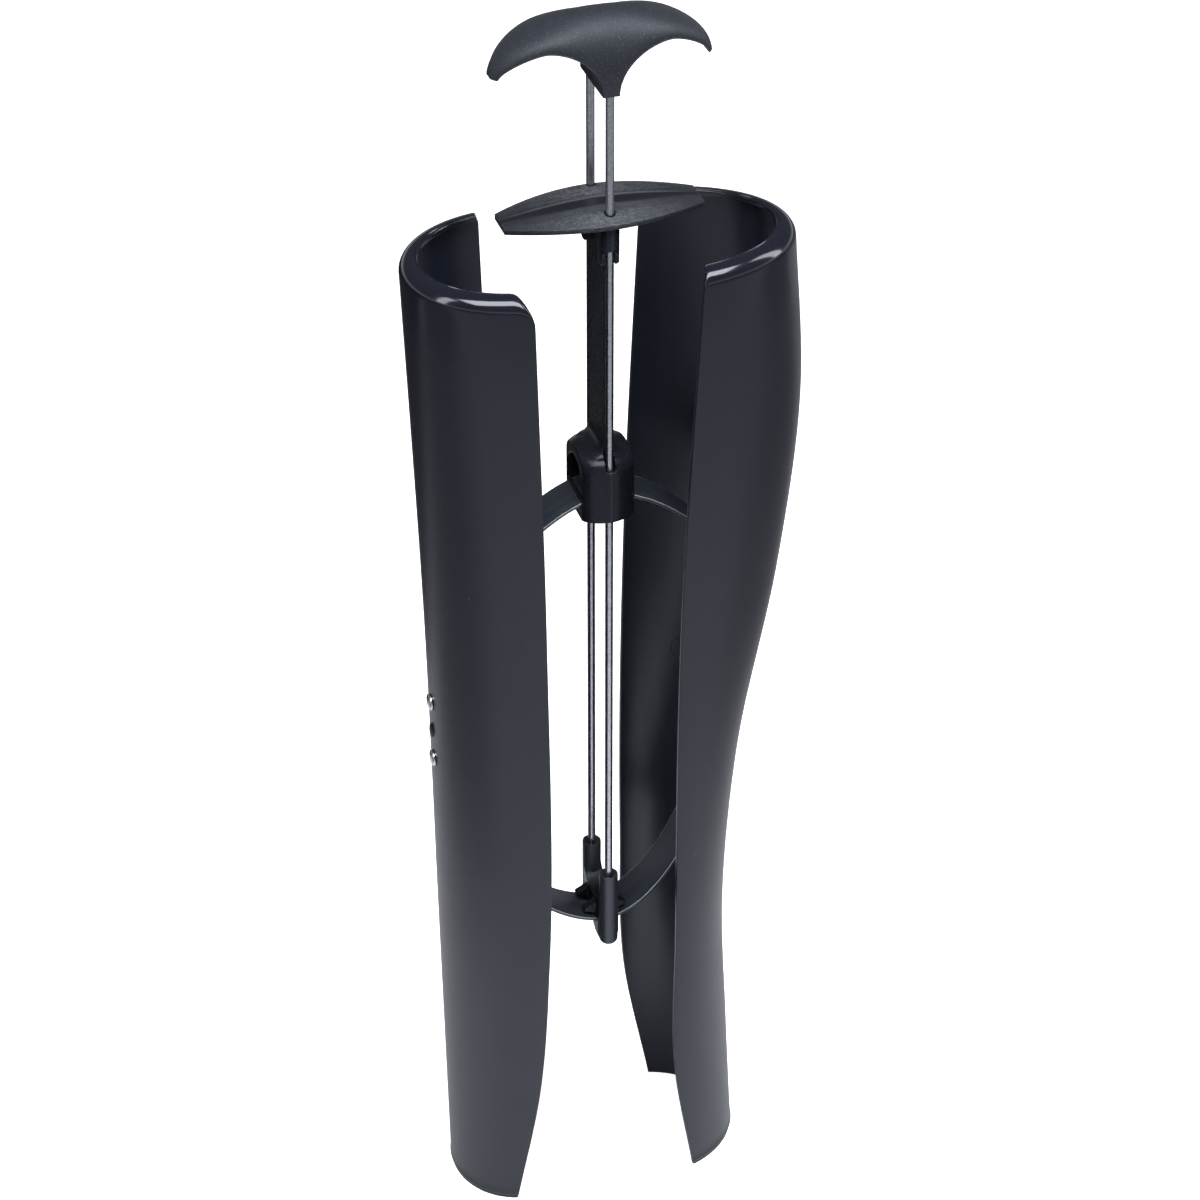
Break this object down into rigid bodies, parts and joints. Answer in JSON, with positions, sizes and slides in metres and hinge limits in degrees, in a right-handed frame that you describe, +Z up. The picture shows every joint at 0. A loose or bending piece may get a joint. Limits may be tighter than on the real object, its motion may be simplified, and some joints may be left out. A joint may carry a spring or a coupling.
{
  "type": "boot shaper",
  "caption": "Boot shaper: two curved half shells on bowed spring straps, drawn in by pulling a finger plate up two rods towards a palm handle.",
  "frame": {"origin": "middle of the footprint on the surface that the shells' hems stand on, between the two rods", "axes": "+X from the front shell to the rear shell, +Y across from the near rod to the far rod, +Z up along the rods to the palm handle"},
  "size_m": [0.1462, 0.0732, 0.5063],
  "materials": {
    "shell": "satin outside, glossy inside",
    "grip": "fine spark-eroded grain",
    "post": "gloss moulding",
    "strap": "satin strip",
    "rod_steel": "drawn wire, bright",
    "rivet_nickel": "nickel plated",
    "washer_steel": "plain",
    "peg": "gloss moulding"
  },
  "bodies": {
    "frame": {"palm_handle": "grip", "front_rod": "rod_steel", "back_rod": "rod_steel", "rod_clip": "post", "lower_strap": "strap"},
    "slider": {"finger_plate": "grip", "slide_post": "post", "upper_strap": "strap"},
    "front_shell": {"front_shell": "shell", "front_lower_rivet": "rivet_nickel", "front_lower_washer": "washer_steel", "front_peg": "peg"},
    "rear_shell": {"rear_shell": "shell", "rear_lower_rivet": "rivet_nickel", "rear_lower_washer": "washer_steel", "rear_peg": "peg"},
    "front_strap_end": {"front_upper_rivet": "rivet_nickel", "front_upper_washer": "washer_steel"},
    "rear_strap_end": {"rear_upper_rivet": "rivet_nickel", "rear_upper_washer": "washer_steel"}
  },
  "joints": [
    {"name": "grip_pull", "type": "slide", "parent": "frame", "child": "slider", "axis": [0, 0, 1], "range_m": [0, 0.027], "stiffness_N_per_m": 500, "springref_m": -0.01, "deforming": ["upper_strap", "lower_strap"]},
    {"name": "front_shell_draw", "type": "slide", "parent": "frame", "child": "front_shell", "axis": [0.8288, 0, 0.5595], "range_m": [0, 0.02413]},
    {"name": "rear_shell_draw", "type": "slide", "parent": "frame", "child": "rear_shell", "axis": [-0.8288, 0, 0.5595], "range_m": [0, 0.02413]},
    {"name": "front_strap_draw", "type": "slide", "parent": "slider", "child": "front_strap_end", "axis": [0.8288, 0, -0.5595], "range_m": [0, 0.02413]},
    {"name": "rear_strap_draw", "type": "slide", "parent": "slider", "child": "rear_strap_end", "axis": [-0.8288, 0, -0.5595], "range_m": [0, 0.02413]}
  ],
  "couplings": [
    {"joint": "front_shell_draw", "follows": "grip_pull", "ratio": 0.8937},
    {"joint": "rear_shell_draw", "follows": "grip_pull", "ratio": 0.8937},
    {"joint": "front_strap_draw", "follows": "grip_pull", "ratio": 0.8937},
    {"joint": "rear_strap_draw", "follows": "grip_pull", "ratio": 0.8937}
  ]
}
